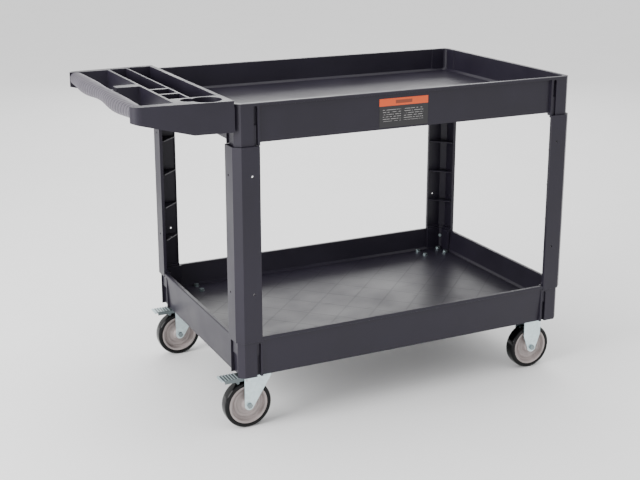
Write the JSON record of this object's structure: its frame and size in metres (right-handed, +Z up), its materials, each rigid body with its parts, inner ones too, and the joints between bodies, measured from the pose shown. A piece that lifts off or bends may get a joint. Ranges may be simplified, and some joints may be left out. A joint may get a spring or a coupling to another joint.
{
  "type": "service cart",
  "caption": "Two-shelf moulded plastic service cart with angle legs, a tool-tray push handle at one end, braked swivel casters at that end and fixed casters at the other.",
  "frame": {"origin": "on the floor under the middle of the cart's whole outline, handle included", "axes": "+X away from the handle, +Y to the back long side (the cup holder is on the -Y side), +Z up"},
  "size_m": [1.2285, 0.637, 0.855],
  "materials": {
    "cart_plastic": "satin moulded plastic, fine grain",
    "grip_plastic": "matt, fine cross ribs",
    "label_print": "satin film, orange band over a dark field",
    "tyre_rubber": "smooth and glossy",
    "hub_plastic": "satin warm grey",
    "zinc_steel": "bright zinc plate",
    "pedal_steel": "zinc plate, pressed ribs",
    "bearing_steel": "ground",
    "fastener_steel": "zinc plate"
  },
  "bodies": {
    "cart": {"axle_bolt_back_right": "fastener_steel", "axle_bolt_front_right": "fastener_steel", "axle_bush_back_right": "bearing_steel", "axle_bush_front_right": "bearing_steel", "axle_nut_back_right": "fastener_steel", "axle_nut_front_right": "fastener_steel", "caster_bolts_back_left": "fastener_steel", "caster_bolts_back_right": "fastener_steel", "caster_bolts_front_left": "fastener_steel", "caster_bolts_front_right": "fastener_steel", "caster_nuts_back_left": "fastener_steel", "caster_nuts_back_right": "fastener_steel", "caster_nuts_front_left": "fastener_steel", "caster_nuts_front_right": "fastener_steel", "caster_plate_back_left": "zinc_steel", "caster_plate_front_left": "zinc_steel", "caster_washers_back_left": "fastener_steel", "caster_washers_back_right": "fastener_steel", "caster_washers_front_left": "fastener_steel", "caster_washers_front_right": "fastener_steel", "fork_back_right": "zinc_steel", "fork_front_right": "zinc_steel", "handle_grip": "grip_plastic", "handle_screws": "fastener_steel", "handle_tray": "cart_plastic", "kingpin_back_left": "bearing_steel", "kingpin_front_left": "bearing_steel", "label": "label_print", "leg_back_left": "cart_plastic", "leg_back_right": "cart_plastic", "leg_front_left": "cart_plastic", "leg_front_right": "cart_plastic", "leg_screws": "fastener_steel", "lower_tray": "cart_plastic", "upper_tray": "cart_plastic"},
    "swivel_front_left": {"fork_front_left": "zinc_steel", "swivel_balls_front_left": "bearing_steel", "brake_pin_front_left": "bearing_steel", "axle_bush_front_left": "bearing_steel", "axle_bolt_front_left": "fastener_steel", "axle_nut_front_left": "fastener_steel"},
    "pedal_front_left": {"brake_pedal_front_left": "pedal_steel"},
    "swivel_back_left": {"fork_back_left": "zinc_steel", "swivel_balls_back_left": "bearing_steel", "brake_pin_back_left": "bearing_steel", "axle_bush_back_left": "bearing_steel", "axle_bolt_back_left": "fastener_steel", "axle_nut_back_left": "fastener_steel"},
    "pedal_back_left": {"brake_pedal_back_left": "pedal_steel"},
    "wheel_front_left": {"hub_front_left": "hub_plastic", "tyre_front_left": "tyre_rubber"},
    "wheel_back_left": {"hub_back_left": "hub_plastic", "tyre_back_left": "tyre_rubber"},
    "wheel_front_right": {"hub_front_right": "hub_plastic", "tyre_front_right": "tyre_rubber"},
    "wheel_back_right": {"hub_back_right": "hub_plastic", "tyre_back_right": "tyre_rubber"}
  },
  "joints": [
    {"name": "swivel_front_left", "type": "hinge", "parent": "cart", "child": "swivel_front_left", "pos_m": [-0.29825, -0.266, 0.139], "axis": [0, 0, 1], "continuous": true},
    {"name": "brake_front_left", "type": "hinge", "parent": "swivel_front_left", "child": "pedal_front_left", "pos_m": [-0.33825, -0.266, 0.133], "axis": [0, -1, 0], "range_deg": [0, 10]},
    {"name": "swivel_back_left", "type": "hinge", "parent": "cart", "child": "swivel_back_left", "pos_m": [-0.29825, 0.266, 0.139], "axis": [0, 0, 1], "continuous": true},
    {"name": "brake_back_left", "type": "hinge", "parent": "swivel_back_left", "child": "pedal_back_left", "pos_m": [-0.33825, 0.266, 0.133], "axis": [0, -1, 0], "range_deg": [0, 10]},
    {"name": "roll_front_left", "type": "hinge", "parent": "swivel_front_left", "child": "wheel_front_left", "pos_m": [-0.33125, -0.266, 0.0635], "axis": [0, 1, 0], "continuous": true},
    {"name": "roll_back_left", "type": "hinge", "parent": "swivel_back_left", "child": "wheel_back_left", "pos_m": [-0.33125, 0.266, 0.0635], "axis": [0, 1, 0], "continuous": true},
    {"name": "roll_front_right", "type": "hinge", "parent": "cart", "child": "wheel_front_right", "pos_m": [0.54175, -0.266, 0.0635], "axis": [0, 1, 0], "continuous": true},
    {"name": "roll_back_right", "type": "hinge", "parent": "cart", "child": "wheel_back_right", "pos_m": [0.54175, 0.266, 0.0635], "axis": [0, 1, 0], "continuous": true}
  ]
}
